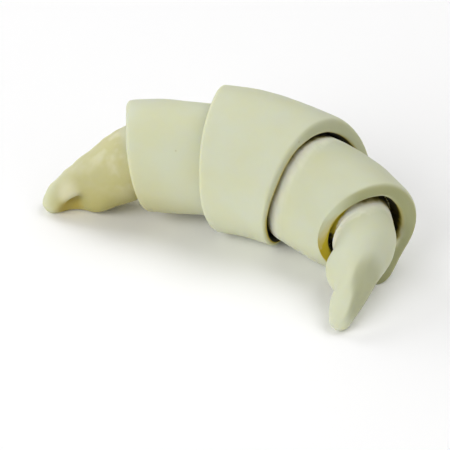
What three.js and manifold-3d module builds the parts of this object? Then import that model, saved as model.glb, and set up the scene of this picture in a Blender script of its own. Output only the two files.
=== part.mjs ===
// Unbaked croissant: a long triangle of dough sheet, rolled up from its base and bent into a crescent.
// Millimetres, +Z up, resting on z = 0, tip to tip along X, with both tips turned towards -Y.

import * as THREE from 'three';
import { LoftGeometry } from 'three/addons/geometries/LoftGeometry.js';
import { mergeVertices } from 'three/addons/utils/BufferGeometryUtils.js';
import Module from 'manifold-3d';

// Centre line of the roll: stations are shares of the length from the middle to each tip
const centreLine = {
  left: 66, // from the middle of the roll to the left tip's end
  right: 68.7,
  step: 0.5,
  headingStations: [-1, -0.5, 0, 0.3, 0.5, 0.65, 1],
  headings: [17, -10, -26.5, -42, -62, -101, -112], // degrees in plan
  heightStations: [-1, -0.8, -0.6, -0.35, 0, 0.35, 0.55, 0.78, 1],
  heights: [6.4, 12.6, 18.8, 20, 21, 17.4, 13.4, 9.6, 2.5],
};

// Dough sheet: the roll angle is 0 on top, 90 at the hollow side, 180 below and 270 at the outer side
const sheet = {
  radius: 20.2, // outside of the last wrap, at the hollow side
  pitch: 5, // radius gained in one turn
  thicknessStations: [-520, -470, -425, -365, -310, -250, -100, -30, 60, 140],
  thicknesses: [4.6, 4.4, 5.2, 4.1, 3.7, 3.8, 4.7, 4.7, 4.3, 2.8], // thinnest where the roll presses on it
  sag: 0.6, // how far each turn hangs below the next one
  start: -664, // roll angle where the sheet leaves the core
  end: 224, // roll angle of the tongue's tip, tucked under the roll
  step: 8,
  rimStations: [-570, -450, -395, -303, -255, -212, -100, -35, 57, 148, 224],
  leftRims: [41, 42.2, 42.2, 40, 37.3, 34.2, 22, 17.5, 14.7, 11.5, 8], // from the roll's middle to the rim
  rightRims: [45, 37.4, 36.3, 39, 38, 33, 21.4, 17, 13.4, 8, 4],
  swellStations: [-40, -15, 15, 40],
  swell: [1.7, 0.9, 0.5, 1], // radius added along the roll
  settles: [
    // how far the second wrap has settled outwards, along the roll and over some degrees round it
    { roll: -221, turn: 30, stations: [1, 7, 14, 22, 30, 37], out: [0, 1.7, 2.2, 1.7, 0, -3] }, // hollow side
    { roll: -484, turn: 23, stations: [24, 32, 40], out: [0, -1.4, -3.5] }, // low on the outer side
    { roll: -424, turn: 30, stations: [16, 24, 32, 40], out: [0, 0.7, 0.95, 1] }, // high on the outer side
  ],
  outerRound: 1.3, // rounding of a rim's outer corner
  innerRound: 1,
  roundSteps: 3,
  outerSpans: 11, // spans across the sheet's outer face
  innerSpans: 6,
  startDive: 5, // how far the sheet's first end sinks into the core
  startRun: 110, // degrees over which it sinks
  tongueSink: 4, // how far the tongue's tip is pressed into the wrap below
  tongueRun: 70, // degrees over which the tongue narrows and sinks
  endHalf: 2.2, // half of the width left at either end
};

// Crevice between a rim and the wrap that it lies on
const crevice = {
  depth: 4.5, // measured from the rim along the roll
  ramp: 2.5, // length over which its floor closes
  fullWidth: 24, // a sheet narrower than this has shallower crevices
};

// Core of the roll, whose ends are the two tips: radius at the root and near the end, and its centre's shift.
// Folds and dents are given by their distance from the tip's end and their roll angle, the length and the
// degrees over which they spread, and their height.
const core = {
  left: {
    root: 11.2,
    end: 2.9,
    power: 1.6, // how late the taper sets in
    out: 0,
    up: -4,
    folds: [
      { from: 9, roll: 117, length: 2.6, turn: 26, height: -4.8 }, // hollow under the end
      { from: 8.5, roll: 70, length: 3.5, turn: 16, height: 0.9 }, // lip over the hollow
      { from: 16, roll: 140, length: 4, turn: 30, height: 1 }, // belly
    ],
  },
  right: {
    root: 8.8,
    end: 2.5,
    power: 1.4,
    out: -2.6,
    up: -0.1,
    folds: [
      { from: 9.5, roll: -3, length: 3, turn: 13, height: 1.1 }, // ridge along the top
      { from: 4, roll: -33, length: 3, turn: 15, height: 1.2 }, // lower end of the ridge
      { from: 8.5, roll: -58, length: 4.5, turn: 26, height: -1 }, // flat outer flank
      { from: 15.5, roll: 98, length: 3, turn: 36, height: 2.2 }, // bulge at the hollow side
      { from: 9.7, roll: 92, length: 1.6, turn: 40, height: -1.6 }, // notch next to it
      { from: 18.5, roll: -80, length: 4.5, turn: 30, height: -1.8 }, // pressed outer side
      { from: 31, roll: 0, length: 4, turn: 42, height: -1 }, // neck inside the rim
    ],
  },
  emerge: -303, // roll angle at which the tips leave the second wrap
  rings: 84,
  sides: 40,
  shiftRun: 8, // length over which a tip moves off the centre line
  leastRadius: 0.4, // of the last ring at a tip
};

const doughColour = 0xd3d3b4;
const doughRoughness = 0.6;

const { clamp, degToRad, euclideanModulo, lerp, smoothstep } = THREE.MathUtils;

function spline(stations, values) {
  const curve = new THREE.CubicInterpolant(stations, values, 1, new Float64Array(1));
  return (at) => curve.evaluate(clamp(at, stations[0], stations.at(-1)))[0];
}

// Centre line in plan, walked from the left tip to the right one
const alongRoll = (shares) => shares.map((share) => share * (share < 0 ? centreLine.left : centreLine.right));
const headingAt = spline(alongRoll(centreLine.headingStations), centreLine.headings.map(degToRad));
const heightAt = spline(alongRoll(centreLine.heightStations), centreLine.heights);
const plan = [new THREE.Vector2()];
for (let s = -centreLine.left; s < centreLine.right + centreLine.step; s += centreLine.step) {
  const heading = headingAt(s + centreLine.step / 2);
  const stride = new THREE.Vector2(Math.cos(heading), Math.sin(heading)).multiplyScalar(centreLine.step);
  plan.push(plan.at(-1).clone().add(stride));
}

function planAt(s) {
  const place = (s + centreLine.left) / centreLine.step;
  const index = clamp(Math.floor(place), 0, plan.length - 2);
  return plan[index].clone().lerp(plan[index + 1], place - index);
}

// A point of the roll: s along the centre line, the roll angle and radius about it, and a shift of the
// centre. The table flattens whatever would sink below it.
function pointAt(s, roll, radius, out = 0, up = 0) {
  const heading = headingAt(s);
  const angle = degToRad(roll);
  const offset = out - radius * Math.sin(angle);
  const height = heightAt(s) + up + radius * Math.cos(angle);
  const outward = new THREE.Vector2(-Math.sin(heading), Math.cos(heading));
  const { x, y } = planAt(s).addScaledVector(outward, offset);
  return new THREE.Vector3(x, y, Math.max(height, 0));
}

const leftRim = spline(sheet.rimStations, sheet.leftRims);
const rightRim = spline(sheet.rimStations, sheet.rightRims);
const swellAt = spline(sheet.swellStations, sheet.swell);
const settles = sheet.settles.map((settle) => ({ ...settle, outAt: spline(settle.stations, settle.out) }));
const thicknessAt = spline(sheet.thicknessStations, sheet.thicknesses);

// How near a roll angle is to either end of the sheet: 0 away from it, 1 at the end itself
const startShare = (roll) => clamp(1 - (roll - sheet.start) / sheet.startRun, 0, 1);
const tongueShare = (roll) => clamp(1 - (sheet.end - roll) / sheet.tongueRun, 0, 1);

// Both edges of the sheet at a roll angle, drawn together round its first end and round the tongue
function rimsAt(roll) {
  const left = -leftRim(roll);
  const right = rightRim(roll);
  const middle = (left + right) / 2;
  const drawn = Math.max(startShare(roll), tongueShare(roll)) ** 2;
  const half = Math.sqrt(lerp(((right - left) / 2) ** 2, sheet.endHalf ** 2, drawn));
  return { left: middle - half, right: middle + half };
}

function wrapRadius(roll, s) {
  const dive = sheet.startDive * smoothstep(startShare(roll), 0, 1);
  const sink = sheet.tongueSink * tongueShare(roll) ** 2;
  let settled = 0;
  for (const settle of settles) {
    settled += settle.outAt(s) * Math.exp(-(((roll - settle.roll) / settle.turn) ** 2) / 2);
  }
  return sheet.radius + (sheet.pitch * (roll - 90)) / 360 + swellAt(s) + settled - dive - sink;
}

// Profile of a rim from the outer face to the inner one, as pairs of inset and depth
function rimProfile(thickness) {
  const profile = [];
  for (let i = 0; i <= sheet.roundSteps; i++) {
    const turn = ((Math.PI / 2) * i) / sheet.roundSteps;
    profile.push([sheet.outerRound * (1 - Math.sin(turn)), sheet.outerRound * (1 - Math.cos(turn))]);
  }
  profile.push([0, thickness - sheet.innerRound], [sheet.innerRound, thickness]);
  return profile;
}

// Outline of the sheet at one roll angle: outer face, left rim, inner face, right rim
function sheetSection(roll) {
  const { left, right } = rimsAt(roll);
  const thickness = thicknessAt(roll);
  const profile = rimProfile(thickness);
  const outline = [];
  const addSpan = (from, to, spans, depth) => {
    for (let i = 1; i < spans; i++) outline.push([lerp(from, to, i / spans), depth]);
  };
  const outerInset = profile[0][0];
  const innerInset = profile.at(-1)[0];
  addSpan(right - outerInset, left + outerInset, sheet.outerSpans, 0);
  profile.forEach(([inset, depth]) => outline.push([left + inset, depth]));
  addSpan(left + innerInset, right - innerInset, sheet.innerSpans, thickness);
  profile.toReversed().forEach(([inset, depth]) => outline.push([right - inset, depth]));
  const hang = (sheet.sag * (roll - sheet.end)) / 360;
  return outline.map(([s, depth]) => pointAt(s, roll, wrapRadius(roll, s) - depth, 0, hang));
}

function makeSheet() {
  const sections = [];
  for (let roll = sheet.start; roll <= sheet.end; roll += sheet.step) sections.push(sheetSection(roll));
  return new LoftGeometry(sections, { capStart: true, capEnd: true });
}

// Height of a tip's folds and dents
function foldHeight(tip, fromEnd, roll) {
  let height = 0;
  for (const fold of tip.folds) {
    const along = (fromEnd - fold.from) / fold.length;
    const round = (euclideanModulo(roll - fold.roll + 180, 360) - 180) / fold.turn;
    height += fold.height * Math.exp(-(along ** 2 + round ** 2) / 2);
  }
  return height;
}

// Radius of the bare core, tapering to a rounded end at each tip
function tipRadius(s, roll) {
  const tip = s < 0 ? core.left : core.right;
  const length = s < 0 ? centreLine.left : centreLine.right;
  const root = s < 0 ? leftRim(core.emerge) : rightRim(core.emerge);
  const share = clamp((Math.abs(s) - root) / (length - root), 0, 1);
  const taper = lerp(tip.root, tip.end, share ** tip.power) + foldHeight(tip, length - Math.abs(s), roll);
  const nose = clamp((Math.abs(s) - (length - tip.end)) / tip.end, 0, 1);
  return Math.max(taper * Math.sqrt(1 - nose ** 2), core.leastRadius);
}

// Radius of the solid inside of the roll: half way into the sheet that covers it, and the core past the rims
function fillRadius(s, roll) {
  let radius = tipRadius(s, roll);
  for (const turn of [-2, -1, 0]) {
    const wrap = roll + 360 * turn;
    if (wrap < sheet.start || wrap > sheet.end) continue;
    const { left, right } = rimsAt(wrap);
    const depth = crevice.depth * Math.min((right - left) / crevice.fullWidth, 1);
    const inside = Math.min(s - left, right - s) - depth;
    const covered = wrapRadius(wrap, s) - thicknessAt(wrap) / 2;
    radius = Math.max(radius, lerp(radius, covered, smoothstep(inside, 0, crevice.ramp)));
  }
  return radius;
}

function coreRing(s) {
  const tip = s < 0 ? core.left : core.right;
  const root = s < 0 ? leftRim(core.emerge) : rightRim(core.emerge);
  const moved = smoothstep(Math.abs(s), root - core.shiftRun, root);
  const ring = [];
  for (let i = 0; i < core.sides; i++) {
    const roll = (360 * i) / core.sides;
    ring.push(pointAt(s, roll, fillRadius(s, roll), tip.out * moved, tip.up * moved));
  }
  return ring;
}

// Rings crowd towards the tips, where the core ends in a round nose
function makeCore() {
  const middle = (centreLine.right - centreLine.left) / 2;
  const half = (centreLine.right + centreLine.left) / 2;
  const rings = [];
  for (let i = 0; i <= core.rings; i++) {
    rings.push(coreRing(middle - half * Math.cos((Math.PI * i) / core.rings)));
  }
  return new LoftGeometry(rings, { capStart: true, capEnd: true });
}

const wasm = await Module();
wasm.setup();

function toSolid(geometry) {
  const bare = new THREE.BufferGeometry();
  bare.setAttribute('position', geometry.attributes.position);
  bare.setIndex(geometry.index);
  const welded = mergeVertices(bare);
  const mesh = new wasm.Mesh({
    numProp: 3,
    vertProperties: new Float32Array(welded.attributes.position.array),
    triVerts: new Uint32Array(welded.index.array),
  });
  return new wasm.Manifold(mesh);
}

function toGeometry(solid) {
  const { vertProperties, triVerts } = solid.getMesh();
  const geometry = new THREE.BufferGeometry();
  geometry.setAttribute('position', new THREE.BufferAttribute(vertProperties, 3));
  geometry.setIndex(new THREE.BufferAttribute(triVerts, 1));
  return geometry;
}

// The rolled dough as one solid, turned so that its tips lie along X and set on the middle of its own base
function makeDough() {
  const geometry = toGeometry(toSolid(makeCore()).add(toSolid(makeSheet())));
  const chord = planAt(centreLine.right).sub(planAt(-centreLine.left));
  geometry.rotateZ(-chord.angle());
  geometry.computeBoundingBox();
  const { min, max } = geometry.boundingBox;
  geometry.translate(-(min.x + max.x) / 2, -(min.y + max.y) / 2, -min.z);
  geometry.computeVertexNormals();
  return geometry;
}

const croissant = new THREE.Group();
const dough = new THREE.Mesh(
  makeDough(),
  new THREE.MeshStandardMaterial({ color: doughColour, roughness: doughRoughness, metalness: 0 }),
);
dough.name = 'dough';
croissant.add(dough);

export default croissant;
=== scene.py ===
import math

import bpy
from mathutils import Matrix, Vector
from mathutils.bvhtree import BVHTree


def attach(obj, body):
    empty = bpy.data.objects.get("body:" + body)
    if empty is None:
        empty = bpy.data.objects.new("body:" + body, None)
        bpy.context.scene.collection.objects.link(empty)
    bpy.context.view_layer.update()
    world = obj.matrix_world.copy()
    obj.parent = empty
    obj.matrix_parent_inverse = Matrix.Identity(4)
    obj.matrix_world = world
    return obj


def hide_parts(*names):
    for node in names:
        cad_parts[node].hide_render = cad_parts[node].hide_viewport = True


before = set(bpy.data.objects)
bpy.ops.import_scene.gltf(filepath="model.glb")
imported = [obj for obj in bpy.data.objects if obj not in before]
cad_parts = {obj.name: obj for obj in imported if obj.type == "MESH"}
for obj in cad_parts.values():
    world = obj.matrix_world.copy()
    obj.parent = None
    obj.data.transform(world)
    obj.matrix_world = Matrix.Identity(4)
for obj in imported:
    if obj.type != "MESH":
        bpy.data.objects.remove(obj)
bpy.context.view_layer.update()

# Sockets of a Mix node that mixes two colours
mixShare, mixUnder, mixOver, mixOut = 0, 6, 7, 2


def linear(hexColour):  # sRGB hex to linear colour with alpha
    parts = [int(hexColour[i:i + 2], 16) / 255 for i in (1, 3, 5)]
    return [c / 12.92 if c <= 0.04045 else ((c + 0.055) / 1.055) ** 2.4 for c in parts] + [1.0]


def addNode(tree, kind, settings=None, links=None):  # one node with its settings and its links
    node = tree.nodes.new(kind)
    for key, value in (settings or {}).items():
        if isinstance(key, str) and hasattr(node, key):
            setattr(node, key, value)
        else:
            node.inputs[key].default_value = value
    for key, source in (links or {}).items():
        tree.links.new(source, node.inputs[key])
    return node


def pick(obj):  # only this object selected and active
    bpy.ops.object.select_all(action='DESELECT')
    obj.select_set(True)
    bpy.context.view_layer.objects.active = obj


def applied(obj, kind, settings):  # adds a modifier, sets it and applies it
    pick(obj)
    bpy.ops.object.modifier_add(type=kind)
    modifier = obj.modifiers[-1]
    for key, value in settings.items():
        setattr(modifier, key, value)
    bpy.ops.object.modifier_apply(modifier=modifier.name)


def between(value, start, full):  # 0 before start, 1 past full, soft in between
    share = min(max((value - start) / (full - start), 0.0), 1.0)
    return share * share * (3 - 2 * share)


def keep(obj, marks):  # named lists with a number for each point, kept on the mesh for the material
    for name, values in marks.items():
        obj.data.attributes.new(name, 'FLOAT', 'POINT').data.foreach_set("value", values)


def lookFrom(place, aim):  # turn of a lamp or camera that looks from place to aim
    return (Vector(aim) - Vector(place)).to_track_quat('-Z', 'Y').to_euler()


# The roll of dough: the CAD solid's shape, softened and made a little uneven
roll = {
    "mergeDistance": 0.00001,
    "quadAngle": math.radians(30),
    "roundLevels": 2,             # takes off the flats of the CAD mesh
    "softFactor": 0.5,
    "softPasses": 2,
    "uneven": {
        "hills": {"on": "free", "size": 0.015, "height": 0.0007},      # left by the hands
        "dimples": {"on": "free", "size": 0.0045, "height": 0.00016},  # of the resting dough
        "lumps": {"on": "tip", "size": 0.005, "height": 0.0009},       # where the tip was pinched
    },
    "noiseDepth": 1,
    "middle": 0.5,                # as much sinks as rises
    "foot": (0.0006, 0.004),      # the foot stays flat on the floor, up to the first height
    "leftTip": (-0.036, -0.044),  # X where the left tip starts, and where it is all tip
}


def rollDough():
    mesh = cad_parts["dough"].data.copy()
    dough = bpy.data.objects.new("rolled_dough", mesh)
    bpy.context.scene.collection.objects.link(dough)
    mesh.materials.clear()
    pick(dough)
    bpy.ops.object.mode_set(mode='EDIT')
    bpy.ops.mesh.select_all(action='SELECT')
    bpy.ops.mesh.remove_doubles(threshold=roll["mergeDistance"])
    bpy.ops.mesh.tris_convert_to_quads(face_threshold=roll["quadAngle"],
                                       shape_threshold=roll["quadAngle"])
    bpy.ops.object.mode_set(mode='OBJECT')
    applied(dough, 'SUBSURF', {"levels": roll["roundLevels"], "render_levels": roll["roundLevels"]})
    applied(dough, 'SMOOTH', {"factor": roll["softFactor"], "iterations": roll["softPasses"]})
    return dough


def unevenDough(dough):  # hills, dimples and lumps, fading out at the foot
    free = dough.vertex_groups.new(name="free")
    tip = dough.vertex_groups.new(name="tip")
    for v in dough.data.vertices:
        lifted = between(v.co.z, *roll["foot"])
        free.add([v.index], lifted, 'REPLACE')
        tip.add([v.index], lifted * between(v.co.x, *roll["leftTip"]), 'REPLACE')
    for name, swell in roll["uneven"].items():
        texture = bpy.data.textures.new(name, 'CLOUDS')
        texture.noise_scale = swell["size"]
        texture.noise_depth = roll["noiseDepth"]
        applied(dough, 'DISPLACE', {"texture": texture, "texture_coords": 'LOCAL',
                                    "mid_level": roll["middle"], "strength": swell["height"],
                                    "vertex_group": swell["on"]})
    dough.vertex_groups.clear()
    pick(dough)
    bpy.ops.object.shade_smooth()


# How far each point lies inside a fold: the share of the rays leaving it that are blocked nearby
fold = {
    "reach": 0.006,        # what is further off blocks no ray
    "rays": 20,
    "lift": 0.00005,       # rays start just off the skin
    "blurPasses": 1,
    "open": (0.4, 0.8),    # share of blocked rays from which a fold is opened, and opened fully
    "openDepth": 0.00025,
}


def foldShares(mesh):
    tree = BVHTree.FromPolygons([v.co for v in mesh.vertices], [p.vertices for p in mesh.polygons])
    golden = math.pi * (3 - math.sqrt(5))
    fan = []
    for i in range(fold["rays"]):
        rise = math.sqrt((i + 0.5) / fold["rays"])  # even over the cosine
        flat = math.sqrt(1 - rise * rise)
        fan.append(Vector((flat * math.cos(golden * i), flat * math.sin(golden * i), rise)))
    depth = []
    for v in mesh.vertices:
        turn = v.normal.to_track_quat('Z', 'Y')
        start = v.co + v.normal * fold["lift"]
        hits = sum(tree.ray_cast(start, turn @ ray, fold["reach"])[0] is not None for ray in fan)
        depth.append(hits / fold["rays"])
    for _ in range(fold["blurPasses"]):
        total = list(depth)
        count = [1] * len(depth)
        for edge in mesh.edges:
            a, b = edge.vertices
            total[a] += depth[b]
            total[b] += depth[a]
            count[a] += 1
            count[b] += 1
        depth = [t / c for t, c in zip(total, count)]
    return depth


def measureFolds(dough):  # the folds gape a little, so that their dark inside shows
    inside = dough.vertex_groups.new(name="inside")
    for i, depth in enumerate(foldShares(dough.data)):
        inside.add([i], between(depth, *fold["open"]), 'REPLACE')
    applied(dough, 'DISPLACE', {"direction": 'NORMAL', "mid_level": 0.0,
                                "strength": -fold["openDepth"], "vertex_group": "inside"})
    dough.vertex_groups.clear()
    return foldShares(dough.data)


# The sheet's cut rims, the walls under them and the skin beside them. The cut rims are tinted
# darker, partly for the layers of butter and partly as painted shade; the walls get painted fold
# shade, and the skin beside a fold is paler as painted light. Each rim has a point in plan, the way
# that it faces in degrees, how far it strays from the point that way, how clearly the cut's tint
# shows above and by the hollow, and how much painted fold shade (its butter number) gathers there.
# A pair of numbers says where something starts and where it is full.
cut = {
    "rims": [
        {"at": (-0.033, -0.008), "facing": 213, "stray": 0.012,
         "above": 0.2, "hollow": 0.2, "butter": 0.0},
        {"at": (-0.010, 0.003), "facing": 198, "stray": 0.010,
         "above": 0.2, "hollow": 0.2, "butter": 0.0},
        {"at": (0.019, 0.008), "facing": 2, "stray": 0.016,
         "above": 0.55, "hollow": 0.15, "butter": 0.38},
        {"at": (0.0415, 0.0035), "facing": -34, "stray": 0.0065,
         "above": 1.0, "hollow": 0.1, "butter": 0.42},
    ],
    "axis": 0.016,                      # height of the roll's middle
    "strayEdge": 0.003,
    "core": (0.0075, 0.009),            # what lies nearer to the roll's middle is no rim
    "turned": (0.35, 0.95),             # cosine between a face and the rim's way
    "toHollow": (0.003, 0.011),
    "behind": (0.002, 0.0),             # the wall under a rim lies behind it
    "inward": (0.1, 0.5),               # and faces the roll's middle
    "rimFold": 0.15,                    # how much sooner the painted fold shade starts on a rim
    "wallFold": 0.15,                   # and on the wall under it
    "paintedLight": (0.12, 0.4),                 # skin beside a fold is paler: painted light
    "lightRight": (-0.005, 0.005),        # on the right half
    "lightFront": (0.020, 0.008),         # and to the front
    "footBack": (0.006, 0.010),         # behind and near the floor, the folds get less painted shade
    "footLow": (0.009, 0.0065),
    "footShadeCut": 0.4,
    "flank": (0.0515, -0.0155, 0.009),  # pinched flank of the right tip, tinted like the cut rims as painted shade
    "flankEdge": (0.012, 0.006),
    "flankShown": 0.6,
    "flankOff": (0.009, 0.015),         # no painted light near it
}


def markRims(dough, depth):
    marks = {"cutRimShade": [], "paintedLightEdge": [], "foldShadeDepth": [], "foldDepth": []}
    for v, measured in zip(dough.data.vertices, depth):
        foot = between(v.co.y, *cut["footBack"]) * between(v.co.z, *cut["footLow"])
        shadeInFold = measured * (1 - cut["footShadeCut"] * foot)
        toFlank = (v.co - Vector(cut["flank"])).length
        shown = cut["flankShown"] * between(v.normal.x, *cut["turned"])
        shown *= between(toFlank, *cut["flankEdge"])
        butter = 0.0
        wall = 0.0
        for rim in cut["rims"]:
            angle = math.radians(rim["facing"])
            way = Vector((math.cos(angle), math.sin(angle), 0.0))
            away = v.co - Vector((*rim["at"], cut["axis"]))
            ahead = away.dot(way)
            near = between(abs(ahead), rim["stray"] + cut["strayEdge"], rim["stray"])
            if near > 0:
                out = away - way * ahead
                faces = near * between(v.normal.dot(way), *cut["turned"])
                faces *= between(out.length, *cut["core"])
                hollow = between(-out.y, *cut["toHollow"])
                clear = rim["above"] + (rim["hollow"] - rim["above"]) * hollow
                shown = max(shown, faces * clear)
                # butter: a share of painted fold shade on the rim's hollow side
                butter = max(butter, faces * rim["butter"] * hollow)
                inward = between(-v.normal.dot(out.normalized()), *cut["inward"])
                wall = max(wall, near * inward * between(ahead, *cut["behind"]))
        paintedLight = between(shadeInFold, *cut["paintedLight"]) * between(toFlank, *cut["flankOff"])
        paintedLight *= between(v.co.x, *cut["lightRight"]) * between(v.co.y, *cut["lightFront"])
        wallDepth = shadeInFold + cut["wallFold"] * wall
        marks["cutRimShade"].append(shown)
        marks["paintedLightEdge"].append(paintedLight * (1 - wall))
        marks["foldDepth"].append(wallDepth)
        marks["foldShadeDepth"].append(wallDepth + cut["rimFold"] * shown + butter)
    keep(dough, marks)


# The left tip, rolled tight and tinted darker and yellower as painted shade: marked most at its
# root, and less and less towards its end
tight = {
    "root": (-0.033, -0.0084, 0.0144),
    "end": (-0.0505, -0.0237, 0.004),
    "girth": 0.0118,                       # where it gives way to the wrap, from its middle line
    "girthEdge": 0.0012,
    "inside": 0.006,                       # how far inside the wrap it starts
    "endShare": 0.1,
    "hollow": (-0.0445, -0.0218, 0.0022),  # hollow under its end, tinted as painted shade
    "hollowNear": (0.0052, 0.002),
    "lip": (-0.0433, -0.0236, 0.0086),     # lip over the hollow, with a painted highlight
    "lipNear": (0.0050, 0.0008),
}


def markLeftTip(dough):
    root = Vector(tight["root"])
    span = Vector(tight["end"]) - root
    way = span.normalized()
    hollow = Vector(tight["hollow"])
    lip = Vector(tight["lip"])
    marks = {"leftTip": [], "leftHollow": [], "lipHighlight": []}
    for v in dough.data.vertices:
        along = (v.co - root).dot(way)
        girth = (v.co - root - way * along).length
        onTip = between(along, -tight["inside"], 0.0)
        onTip *= between(girth, tight["girth"] + tight["girthEdge"], tight["girth"])
        fading = (1 - tight["endShare"]) * between(along, 0.0, span.length)
        marks["leftTip"].append(onTip * (1 - fading))
        marks["leftHollow"].append(between((v.co - hollow).length, *tight["hollowNear"]))
        marks["lipHighlight"].append(between((v.co - lip).length, *tight["lipNear"]))
    keep(dough, marks)


# Raw laminated dough, rolled out and rested: pale cream with butter showing through in soft patches
# and a soft dull sheen with hardly any gloss. Painted shade and light are laid in its colour:
# yellow and dark in the folds, darker cut rims, darker and yellower low on the left, on the left
# tip and in the hollow under it, and paler skin beside the folds and on the lip
rawDough = {
    "cream": "#ced2ba",
    "buttery": "#cfd1ae",          # butter patches
    "patchSize": 0.012,
    "patchDetail": 3,
    "patchFrom": 0.4,
    "patchFull": 0.75,
    "tipShade": "#c7c494",      # painted shade: the left tip darker and yellower, with paler patches
    "tightPale": "#d7d5b4",
    "tightPatch": 0.006,
    "tightDetail": 2,
    "tightFrom": 0.42,
    "tightFull": 0.62,
    "lowLeftShade": "#b2ab6e",          # painted shade: darker and yellower low on the left
    "leftStart": 0.0,
    "leftFull": -0.03,
    "lowStart": 0.026,
    "lowFull": 0.003,
    "tipStart": -0.043,            # less of the painted low shade towards the end of the left tip
    "tipFull": -0.050,
    "tipEndShade": 0.1,
    # painted shade in the hollow under the left tip's end
    "hollowShade": "#b8a85a",
    "poreTint": "#bdbb9a",         # a few small pores in the skin
    "poreSpacing": 0.009,
    "poreSize": 0.0004,
    "paintedLightEdge": "#ecedda",          # painted light: paler skin beside a fold
    "cutRimShade": "#a6a87f",           # the layers of butter show where the sheet was cut, tinted darker still as painted shade
    "shadeInFold": "#b3a022",           # painted shade: yellow at the mouth of a fold
    "foldFrom": 0.5,
    "foldFull": 0.8,
    "tipFold": 0.25,               # and sooner on the left tip
    # painted highlight on the lip over the hollow
    "lipHighlight": "#d0cdac",
    "darkFoldShade": "#2a2406",         # painted shade: the dark inside of a fold
    "deepFrom": 0.64,
    "deepFull": 0.84,
    "grainSize": 0.0009,           # grain of the floured skin, drawn coarse enough to show
    "grainDetail": 2,
    "grainHeight": 0.00003,
    "roughness": 0.6,
    "roughnessSpread": 0.1,
    "scatterWeight": 0.6,
    "scatterReach": 0.002,
    "scatterTint": (1.0, 0.85, 0.35),
    "ior": 1.42,
    "specular": 0.2,
    "sheen": 0.04,
}


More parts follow.
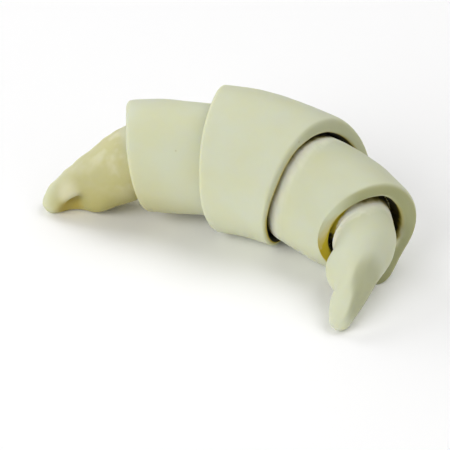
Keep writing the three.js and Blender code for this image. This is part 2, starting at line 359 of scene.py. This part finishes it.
def makeRawDough():
    material = bpy.data.materials.new("raw_laminated_dough")
    material.use_nodes = True
    tree = material.node_tree
    tree.nodes.clear()
    place = addNode(tree, 'ShaderNodeTexCoord').outputs["Object"]
    axes = addNode(tree, 'ShaderNodeSeparateXYZ', links={"Vector": place}).outputs
    marks = {name: addNode(tree, 'ShaderNodeAttribute', {"attribute_name": name}).outputs["Fac"]
             for name in ("cutRimShade", "paintedLightEdge", "foldShadeDepth", "foldDepth",
                          "leftTip", "leftHollow", "lipHighlight")}

    # Cream skin with butter patches, and the left tip with its own, darker and yellower as painted
    # shade
    patches = addNode(tree, 'ShaderNodeTexNoise',
                      {"Scale": 1 / rawDough["patchSize"], "Detail": rawDough["patchDetail"]},
                      {"Vector": place}).outputs["Fac"]
    patchShare = addNode(tree, 'ShaderNodeMapRange',
                         {"From Min": rawDough["patchFrom"], "From Max": rawDough["patchFull"]},
                         {"Value": patches}).outputs["Result"]
    skin = addNode(tree, 'ShaderNodeMix',
                   {"data_type": 'RGBA', mixUnder: linear(rawDough["cream"]),
                    mixOver: linear(rawDough["buttery"])},
                   {mixShare: patchShare}).outputs[mixOut]
    tipPatches = addNode(tree, 'ShaderNodeTexNoise',
                         {"Scale": 1 / rawDough["tightPatch"], "Detail": rawDough["tightDetail"]},
                         {"Vector": place}).outputs["Fac"]
    tipShare = addNode(tree, 'ShaderNodeMapRange',
                       {"From Min": rawDough["tightFrom"], "From Max": rawDough["tightFull"]},
                       {"Value": tipPatches}).outputs["Result"]
    tipSkin = addNode(tree, 'ShaderNodeMix',
                      {"data_type": 'RGBA', mixUnder: linear(rawDough["tipShade"]),
                       mixOver: linear(rawDough["tightPale"])},
                      {mixShare: tipShare}).outputs[mixOut]
    colour = addNode(tree, 'ShaderNodeMix', {"data_type": 'RGBA'},
                     {mixShare: marks["leftTip"], mixUnder: skin, mixOver: tipSkin}).outputs[mixOut]

    # Painted shade low on the left, but less at the tip's end
    toLeft = addNode(tree, 'ShaderNodeMapRange',
                     {"From Min": rawDough["leftStart"], "From Max": rawDough["leftFull"]},
                     {"Value": axes["X"]}).outputs["Result"]
    low = addNode(tree, 'ShaderNodeMapRange',
                  {"interpolation_type": 'SMOOTHSTEP',
                   "From Min": rawDough["lowStart"], "From Max": rawDough["lowFull"]},
                  {"Value": axes["Z"]}).outputs["Result"]
    tipEndFade = addNode(tree, 'ShaderNodeMapRange',
                    {"From Min": rawDough["tipStart"], "From Max": rawDough["tipFull"],
                     "To Min": 1.0, "To Max": rawDough["tipEndShade"]},
                    {"Value": axes["X"]}).outputs["Result"]
    lowTip = addNode(tree, 'ShaderNodeMath', {"operation": 'MULTIPLY'},
                     {0: toLeft, 1: low}).outputs[0]
    lowLeftShade = addNode(tree, 'ShaderNodeMath', {"operation": 'MULTIPLY'},
                      {0: lowTip, 1: tipEndFade}).outputs[0]

    # Pores
    spots = addNode(tree, 'ShaderNodeTexVoronoi', {"Scale": 1 / rawDough["poreSpacing"]},
                    {"Vector": place}).outputs["Distance"]
    poreEdge = rawDough["poreSize"] / rawDough["poreSpacing"]
    pore = addNode(tree, 'ShaderNodeMapRange', {"From Min": poreEdge, "From Max": poreEdge / 2},
                   {"Value": spots}).outputs["Result"]

    # Painted shade: yellow at the mouth of a fold, and the dark inside
    foldShadeDepth = addNode(tree, 'ShaderNodeMath',
                          {"operation": 'MULTIPLY_ADD', 1: rawDough["tipFold"]},
                          {0: marks["leftTip"], 2: marks["foldShadeDepth"]}).outputs[0]
    nearFold = addNode(tree, 'ShaderNodeMapRange',
                       {"From Min": rawDough["foldFrom"], "From Max": rawDough["foldFull"]},
                       {"Value": foldShadeDepth}).outputs["Result"]
    farFold = addNode(tree, 'ShaderNodeMapRange',
                      {"From Min": rawDough["deepFrom"], "From Max": rawDough["deepFull"]},
                      {"Value": marks["foldDepth"]}).outputs["Result"]

    # The tints, each laid over the ones before it; most are painted shade or painted light
    for tint, share in (("lowLeftShade", lowLeftShade), ("hollowShade", marks["leftHollow"]),
                        ("poreTint", pore), ("paintedLightEdge", marks["paintedLightEdge"]),
                        ("cutRimShade", marks["cutRimShade"]), ("shadeInFold", nearFold),
                        ("lipHighlight", marks["lipHighlight"]), ("darkFoldShade", farFold)):
        colour = addNode(tree, 'ShaderNodeMix',
                         {"data_type": 'RGBA', mixOver: linear(rawDough[tint])},
                         {mixShare: share, mixUnder: colour}).outputs[mixOut]

    # Fine grain, and a dullness that varies with the butter
    grain = addNode(tree, 'ShaderNodeTexNoise',
                    {"Scale": 1 / rawDough["grainSize"], "Detail": rawDough["grainDetail"]},
                    {"Vector": place}).outputs["Fac"]
    bump = addNode(tree, 'ShaderNodeBump', {"Distance": rawDough["grainHeight"]},
                   {"Height": grain}).outputs["Normal"]
    dull = addNode(tree, 'ShaderNodeMapRange',
                   {"To Min": rawDough["roughness"] - rawDough["roughnessSpread"],
                    "To Max": rawDough["roughness"] + rawDough["roughnessSpread"]},
                   {"Value": patches}).outputs["Result"]
    shader = addNode(tree, 'ShaderNodeBsdfPrincipled',
                     {"subsurface_method": 'RANDOM_WALK',
                      "Subsurface Weight": rawDough["scatterWeight"],
                      "Subsurface Radius": rawDough["scatterTint"],
                      "Subsurface Scale": rawDough["scatterReach"],
                      "IOR": rawDough["ior"],
                      "Specular IOR Level": rawDough["specular"],
                      "Sheen Weight": rawDough["sheen"]},
                     {"Base Color": colour, "Roughness": dull, "Normal": bump}).outputs["BSDF"]
    addNode(tree, 'ShaderNodeOutputMaterial', links={"Surface": shader})
    return material


dough = rollDough()
unevenDough(dough)
print("dough rolled,", len(dough.data.vertices), "points,",
      sum(len(p.vertices) - 2 for p in dough.data.polygons), "triangles")
markRims(dough, measureFolds(dough))
markLeftTip(dough)
print("folds and rims measured")
dough.data.materials.append(makeRawDough())
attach(dough, "root")
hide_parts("dough")
print("dough dressed")

# Plain white floor, six broad soft lights from round about and a faint warm fill from the room
studio = {
    "floorSize": 30.0,
    "floorColour": "#fefeff",
    "roomColour": "#fffaf0",
    "roomStrength": 0.05,
    "aim": (0.0, 0.0, 0.015),
    "lightSize": 0.9,
    "lights": {
        "front_light": {"place": (-0.141, -1.073, 0.625), "power": 10.5, "colour": "#ffffff"},
        "left_light": {"place": (-1.073, 0.141, 0.625), "power": 7.2, "colour": "#ffffff"},
        "back_light": {"place": (0.082, 0.620, 1.083), "power": 3.6, "colour": "#ffffff"},
        "high_light": {"place": (0.496, 0.380, 1.083), "power": 4.5, "colour": "#ffffff"},
        "right_light": {"place": (1.073, -0.141, 0.625), "power": 2.3, "colour": "#fffdf6"},
        "near_light": {"place": (0.659, -0.859, 0.625), "power": 0.5, "colour": "#ffffff"},
    },
}


def setStudio():
    bpy.ops.object.select_all(action='DESELECT')
    bpy.ops.mesh.primitive_plane_add(size=studio["floorSize"])
    floor = bpy.context.object
    floor.name = "floor"
    paint = bpy.data.materials.new("matt_white_floor")  # even, dull white
    paint.use_nodes = True
    tree = paint.node_tree
    tree.nodes.clear()
    white = addNode(tree, 'ShaderNodeBsdfDiffuse', {"Color": linear(studio["floorColour"])})
    addNode(tree, 'ShaderNodeOutputMaterial', links={"Surface": white.outputs["BSDF"]})
    floor.data.materials.append(paint)
    for name, light in studio["lights"].items():
        bpy.ops.object.light_add(type='AREA', location=light["place"])
        lamp = bpy.context.object
        lamp.name = name
        lamp.data.energy = light["power"]
        lamp.data.size = studio["lightSize"]
        lamp.data.color = linear(light["colour"])[:3]
        lamp.rotation_euler = lookFrom(light["place"], studio["aim"])
    world = bpy.data.worlds.new("studio")
    world.use_nodes = True
    bpy.context.scene.world = world
    sky = world.node_tree.nodes["Background"]
    sky.inputs["Color"].default_value = linear(studio["roomColour"])
    sky.inputs["Strength"].default_value = studio["roomStrength"]
    bpy.context.scene.view_settings.view_transform = 'Standard'


setStudio()
print("studio set")

# Camera at the photograph's angle, on a long lens
shot = {
    "eye": (0.310648, -0.416616, 0.31868),
    "aim": (0.005631, -0.014763, 0.011342),
    "lens": 174.0,
    "sensor": 36.0,
    "clipStart": 0.01,
    "clipEnd": 100.0,
}


def setCamera():
    bpy.ops.object.camera_add(location=shot["eye"])
    camera = bpy.context.object
    camera.name = "camera"
    camera.rotation_euler = lookFrom(shot["eye"], shot["aim"])
    camera.data.lens = shot["lens"]
    camera.data.sensor_width = shot["sensor"]
    camera.data.clip_start = shot["clipStart"]
    camera.data.clip_end = shot["clipEnd"]
    bpy.context.scene.camera = camera


setCamera()
print("camera set")
